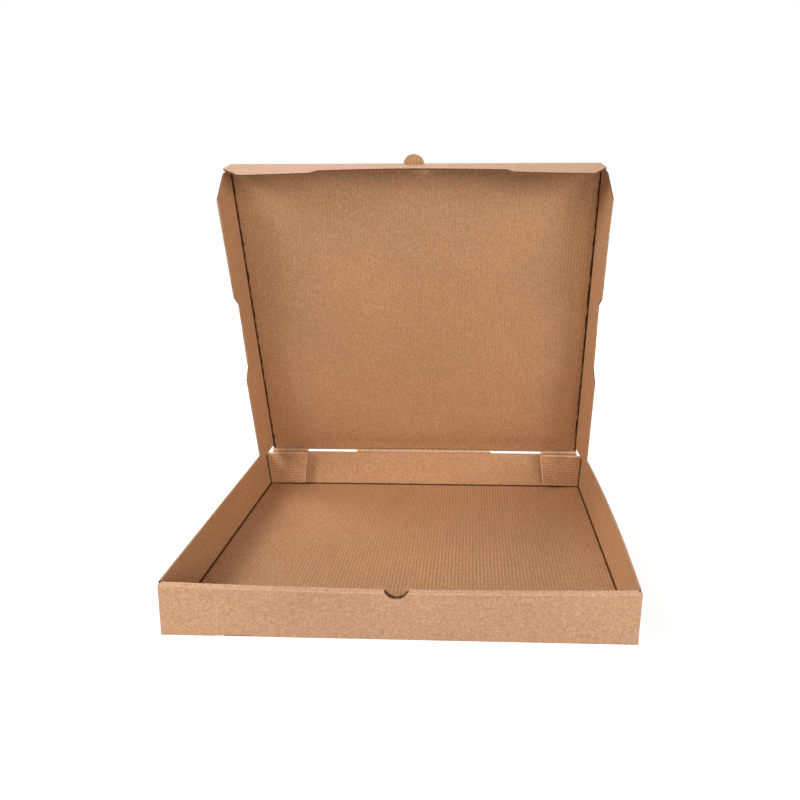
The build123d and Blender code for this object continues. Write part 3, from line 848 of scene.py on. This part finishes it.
def near_edge(piece, place, low, high, seed, along_flutes=False):
    """The edge of a panel next to a fold: pressed thin inside, where it is painted the dark crease colour as
    painted shade, plain outside.
    """
    marks = steps(low, high, 4)
    inner_lines, outer_lines = [], []
    for m in marks:
        reach = NEAR + BEVEL + lap(m, seed, 0.3)
        inner_lines.append([place(m, NEAR, -0.2), place(m, NEAR + BEVEL, H), place(m, reach, H + 0.03)])
        outer_lines.append([place(m, NEAR, -H), place(m, NEAR + BEVEL, -H)])
    across = None if along_flutes else 0
    piece.strip(inner_lines, CREASE_SHADE, marks, across=across)
    piece.strip(outer_lines, OUTSIDE, marks, across=across)
    piece.strip([[a[0], b[0]] for a, b in zip(inner_lines, outer_lines)], CUT, marks, across=across)
    for i in (0, -1):
        piece.cap(outer_lines[i], inner_lines[i][:2])


def far_fold(piece, axis_at, out, edge_at, low, high, seed, along_flutes=False, wide=0.3):
    """The rounded fold of the panel that a flap turns on, with a dark line inside: painted shade of the
    pressed groove.
    edge_at(m, back, w) is a point of the panel that is back from the fold's axis."""
    marks = steps(low, high, 4)
    outer_lines, inner_lines = [], []
    for m in marks:
        outer_lines.append([edge_at(m, GROOVE, -H)] + arc(axis_at(m), out, INWARD, H, -90, 20, 8))
        inner_lines.append([
            edge_at(m, GROOVE + lap(m, seed, wide), H + 0.03), edge_at(m, GROOVE, H), edge_at(m, 0.35, -0.1),
            *arc(axis_at(m), out, INWARD, H, 100, 20, 6)])
    across = None if along_flutes else LID_L
    piece.strip(outer_lines, OUTSIDE, marks, across=across)
    piece.strip(inner_lines, CREASE_SHADE, marks, across=across)
    for i in (0, -1):
        piece.cap(outer_lines[i], inner_lines[i][1:])


def build_panel():
    """The lid's panel with its pull tab and the folds that its flaps turn on."""
    panel = Piece()
    slot = [(SLOT_IN, NEAR + BEVEL), (SLOT_IN, 0), (SLOT_OUT, 0), (SLOT_OUT, NEAR + BEVEL)]
    start = math.asin(-GROOVE / PULL_TAB)
    rim = circle_part(PULL_TAB, LID_L, start, math.pi - start, 16)
    outline = mirrored(slot + [(SIDE_EDGE, NEAR + BEVEL), (SIDE_EDGE, FAR_EDGE)], rim)
    at_u = [side * (SIDE_EDGE - d) for d in FROM_FOLD for side in (-1, 1)]
    at_v = [CROWN_START + d for d in FROM_FOLD] + [FAR_EDGE - d for d in FROM_FOLD]
    board(panel, panel_place, outline, dv=12, is_open=lambda u, v: v > LID_L, at_u=at_u, at_v=at_v)
    for low, high in ((-SIDE_EDGE, -SLOT_OUT), (-SLOT_IN, SLOT_IN), (SLOT_OUT, SIDE_EDGE)):
        near_edge(panel, panel_place, low, high, 31)
    for side in (-1, 1):
        # The board's edge at the slots is pressed round
        low, high = sorted((side * SLOT_IN, side * SLOT_OUT))
        xs = steps(low + 0.1, high - 0.1, 6)
        panel.strip([arc(HINGE + X * x, INWARD, -ALONG, H, 0, 180, 8) for x in xs], INSIDE, xs, across=0)
        far_fold(panel, lambda m: HINGE + X * side * FOLD_X + ALONG * m, X * side,
                 lambda m, back, w: panel_place(side * (FOLD_X - back), m, w),
                 SIDE_LOW, LID_L - FAR_GAP, 40 + side, along_flutes=True, wide=0.9)
        low, high = sorted((side * PULL_TAB, side * CREASE_X))
        far_fold(panel, lambda m: FAR + X * m, ALONG, lambda m, back, w: panel_place(m, LID_L - back, w),
                 low, high, 45)
    panel.build("lid_panel_board", "lid_panel", "lid_panel")


def build_side_flap(side, name):
    """A side flap of the lid: u away from the panel, v from the hinge. It twists along its length."""
    flap = Piece()
    origin = HINGE + X * side * FOLD_X
    near_turn, mid_turn, far_turn = SIDE_TURNS[side]

    def place(u, v, w):
        turn = near_turn + (mid_turn - near_turn) * ease((v - 120.0) / 110.0)
        turn = math.radians(turn + (far_turn - mid_turn) * ease((v - 290.0) / 50.0))
        down = INWARD * math.cos(turn) + X * side * math.sin(turn)
        facing = INWARD * math.sin(turn) - X * side * math.cos(turn)
        return origin + down * u + ALONG * v + facing * w

    low, high = SIDE_RECESS
    shallow = DEPTH - SIDE_RECESS_DEEP
    outline = [
        (NEAR + BEVEL, 5.4), (2.4, 6.6), (15.0, 8.6), (24.0, 9.1), (DEPTH, 15.5), (DEPTH, low),
        (shallow, low + SIDE_RECESS_SLOPE), (shallow, high - SIDE_RECESS_SLOPE), (DEPTH, high),
        (DEPTH, LID_L - 18.5), (17.0, LID_L - 2.8), (NEAR + BEVEL, LID_L - FAR_GAP),
    ]
    board(flap, place, outline, dv=12, shift=1.1)
    near_edge(flap, lambda m, u, w: place(u, m, w), 4.4, LID_L - FAR_GAP, 50 + side, along_flutes=True)
    flap.build(name + "_board", name, name)


def front_flap_place(u, v, w):
    """The lid's front flap: u across, v away from the panel. Its middle stands farther out than its ends."""
    turn = math.radians(FRONT_TURN - FRONT_BEND[-1 if u < 0 else 1] * ease(abs(u) / 175.0))
    down = INWARD * math.cos(turn) + ALONG * math.sin(turn)
    facing = INWARD * math.sin(turn) - ALONG * math.cos(turn)
    return FAR + X * u + down * v + facing * w


def build_front_flap():
    """The lid's front flap, cut round the pull tab, with a recessed middle and an ear at each end."""
    flap = Piece()
    start = math.asin((NEAR + BEVEL) / TAB_CUTOUT)
    cutout = circle_part(TAB_CUTOUT, 0, math.pi - start, start, 16)
    inner = RECESS_X - RECESS_SLOPE
    outline = [(-CREASE_X - 0.3, NEAR + BEVEL)] + cutout + [
        (CREASE_X + 0.3, NEAR + BEVEL), (EAR_X, EAR_DROP), (FREE_X[1], DEPTH), (RECESS_X, DEPTH),
        (inner, DEPTH - RECESS_DEEP), (-inner, DEPTH - RECESS_DEEP), (-RECESS_X, DEPTH), (-FREE_X[-1], DEPTH),
        (-EAR_X, EAR_DROP),
    ]
    board(flap, front_flap_place, outline, du=12, is_open=lambda u, v: v > 3, cut=MEDIUM)
    hole = math.sqrt(TAB_CUTOUT ** 2 - NEAR ** 2)
    near_edge(flap, front_flap_place, -CREASE_X, -hole, 55)
    near_edge(flap, front_flap_place, hole, CREASE_X, 56)
    flap.build("lid_front_flap_board", "lid_front_flap", "lid_front_flap")


def add_camera():
    """The camera, fitted to the edges of the box in the photograph."""
    azimuth, elevation, away = math.radians(2.69), math.radians(9.71), 0.79296
    tip = math.radians(-0.11)
    target = Vector((0.01785, 0.0, 0.18992))
    level = math.cos(elevation)
    back = Vector((math.sin(azimuth) * level, -math.cos(azimuth) * level, math.sin(elevation)))
    across = (-back).cross(Z).normalized()
    up = across.cross(-back)
    cam_x = math.cos(tip) * across + math.sin(tip) * up
    cam_y = -math.sin(tip) * across + math.cos(tip) * up
    data = bpy.data.cameras.new("camera")
    data.lens = 38.79
    data.sensor_width = 36.0
    data.shift_x = -0.0394
    data.shift_y = -0.0612
    data.clip_end = 50
    camera = bpy.data.objects.new("camera", data)
    axes = Matrix((cam_x, cam_y, back)).transposed().to_4x4()
    camera.matrix_world = Matrix.Translation(target + back * away) @ axes
    scene.collection.objects.link(camera)
    scene.camera = camera


def add_lamp(name, place, power, size=1.0, aim=(0, 0, 0.15)):
    data = bpy.data.lights.new(name, "AREA")
    data.shape = "SQUARE"
    data.size = size
    data.energy = power
    lamp = bpy.data.objects.new(name, data)
    lamp.location = place
    lamp.rotation_euler = (Vector(aim) - Vector(place)).to_track_quat("-Z", "Y").to_euler()
    scene.collection.objects.link(lamp)


def add_world():
    """Plain light from all round. The camera and mirrors see it as white."""
    world = bpy.data.worlds.new("world")
    scene.world = world
    world.use_nodes = True
    tree = world.node_tree
    tree.nodes.clear()
    path = tree.nodes.new("ShaderNodeLightPath")
    seen = path.outputs["Is Camera Ray"]
    for ray in ("Is Glossy Ray", "Is Transmission Ray"):
        either = tree.nodes.new("ShaderNodeMath")
        either.operation = "MAXIMUM"
        tree.links.new(seen, either.inputs[0])
        tree.links.new(path.outputs[ray], either.inputs[1])
        seen = either.outputs[0]
    pick = tree.nodes.new("ShaderNodeMixShader")
    tree.links.new(seen, pick.inputs[0])
    for index, level in ((1, 0.04), (2, 1.0)):
        sky = tree.nodes.new("ShaderNodeBackground")
        sky.inputs["Color"].default_value = (1, 1, 1, 1)
        sky.inputs["Strength"].default_value = level
        tree.links.new(sky.outputs[0], pick.inputs[index])
    tree.links.new(pick.outputs[0], tree.nodes.new("ShaderNodeOutputWorld").inputs["Surface"])


def add_ground(reach=6.0):
    """White floor, which keeps the box's soft shadow and runs into the white round it."""
    corners = [(-reach, -reach, 0), (reach, -reach, 0), (reach, reach, 0), (-reach, reach, 0)]
    mesh = bpy.data.meshes.new("floor")
    mesh.from_pydata(corners, [], [(0, 1, 2, 3)])
    floor = bpy.data.objects.new("floor", mesh)
    scene.collection.objects.link(floor)
    s = Shader("floor")
    s.bsdf.inputs["Base Color"].default_value = (0.5, 0.5, 0.5, 1)
    s.bsdf.inputs["Roughness"].default_value = 0.9
    distance = s.tree.nodes.new("ShaderNodeVectorMath")
    distance.operation = "LENGTH"
    s.put(distance.inputs[0], s.coord.outputs["Object"])
    level = s.span(distance.outputs["Value"], 0.35, 0.9, 0.75, 1.0, smooth=True)
    glow = s.node("ShaderNodeEmission", Strength=level)
    lit = s.tree.nodes.new("ShaderNodeAddShader")
    s.put(lit.inputs[0], s.bsdf.outputs[0])
    s.put(lit.inputs[1], glow.outputs[0])
    pick = s.tree.nodes.new("ShaderNodeMixShader")
    s.put(pick.inputs[0], s.tree.nodes.new("ShaderNodeLightPath").outputs["Is Camera Ray"])
    s.put(pick.inputs[1], s.bsdf.outputs[0])
    s.put(pick.inputs[2], lit.outputs[0])
    s.put(s.tree.nodes["Material Output"].inputs["Surface"], pick.outputs[0])
    mesh.materials.append(s.mat)


add_floor()
for side in (-1, 1):
    add_side_wall(side)
    add_corner_flap(side)
    add_corner_tab(side)
add_rear_wall()
add_front_wall()
tray.build("tray_board", "tray", "tray")
build_panel()
build_side_flap(-1, "lid_left_flap")
build_side_flap(1, "lid_right_flap")
build_front_flap()

add_camera()
add_lamp("key", (-1.64, -1.38, 1.44), 42)
add_lamp("right", (1.86, -1.56, 0.75), 25)
add_lamp("front", (0.6, -2.3, 1.0), 15)
add_lamp("top", (-1.6, 0.0, 2.0), 18)
add_lamp("rear", (-0.5, 1.7, 1.75), 11)
add_lamp("back", (0.7, 2.3, 0.7), 15)
add_world()
add_ground()
